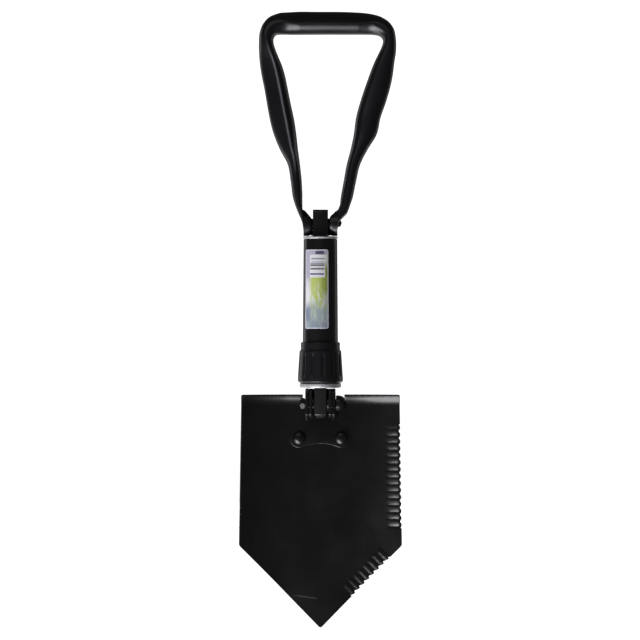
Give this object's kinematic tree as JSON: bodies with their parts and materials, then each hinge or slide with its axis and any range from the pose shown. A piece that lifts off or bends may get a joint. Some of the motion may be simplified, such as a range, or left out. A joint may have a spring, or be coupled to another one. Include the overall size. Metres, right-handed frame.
{
  "type": "camp shovel",
  "caption": "Black tri-fold camp shovel with a bent-tube D-handle, a fluted locking nut and a pointed blade with ribbed teeth on one side.",
  "frame": {"origin": "on the shaft's axis, half way along the tube that a hand holds", "axes": "+Z along the shaft towards the D-handle, +Y to the blade's back, +X to the blade's toothed side"},
  "size_m": [0.154, 0.0426, 0.5816],
  "materials": {
    "black_paint": "semi-gloss black paint on steel, slightly uneven",
    "blade_paint": "satin black paint on pressed steel sheet",
    "nut_paint": "satin black paint on the fluted nut",
    "bright_steel": "bare bright steel",
    "plain_steel": "plain turned steel inside the tool",
    "label_print": null,
    "nylon": "natural nylon guide ring"
  },
  "bodies": {
    "shaft": {"shaft_tube": "black_paint", "mouth_collar": "bright_steel", "threaded_end": "plain_steel", "product_label": "label_print", "rod_guide": "nylon"},
    "core": {"handle_block": "black_paint", "tie_rod": "plain_steel", "upper_roll_pin": "plain_steel", "lower_roll_pin": "plain_steel", "hinge_tongue": "black_paint", "thrust_washer": "bright_steel"},
    "lock_nut": {"lock_nut_grip": "nut_paint", "lock_nut_insert": "plain_steel"},
    "handle": {"handle_loop": "black_paint", "handle_pin": "black_paint", "handle_washer_left": "plain_steel", "handle_washer_right": "plain_steel"},
    "blade": {"blade": "blade_paint", "hinge_bracket": "blade_paint", "blade_rivet_left": "blade_paint", "blade_rivet_right": "blade_paint", "hinge_bolt": "black_paint", "hinge_bolt_nut": "black_paint", "hinge_spacer_left": "black_paint", "hinge_spacer_right": "black_paint"}
  },
  "joints": [
    {"name": "core_slide", "type": "slide", "parent": "shaft", "child": "core", "axis": [0, 0, 1], "range_m": [0, 0.006]},
    {"name": "nut_turn", "type": "hinge", "parent": "core", "child": "lock_nut", "pos_m": [0, 0, -0.07], "axis": [0, 0, 1], "range_deg": [0, 540]},
    {"name": "handle_fold", "type": "hinge", "parent": "core", "child": "handle", "pos_m": [0, 0, 0.062], "axis": [-1, 0, 0], "range_deg": [0, 170]},
    {"name": "blade_fold", "type": "hinge", "parent": "core", "child": "blade", "pos_m": [0, -0.01, -0.108], "axis": [-1, 0, 0], "range_deg": [0, 180]}
  ],
  "couplings": [
    {"joint": "nut_turn", "follows": "core_slide", "rad_per_m": 1570.8}
  ]
}
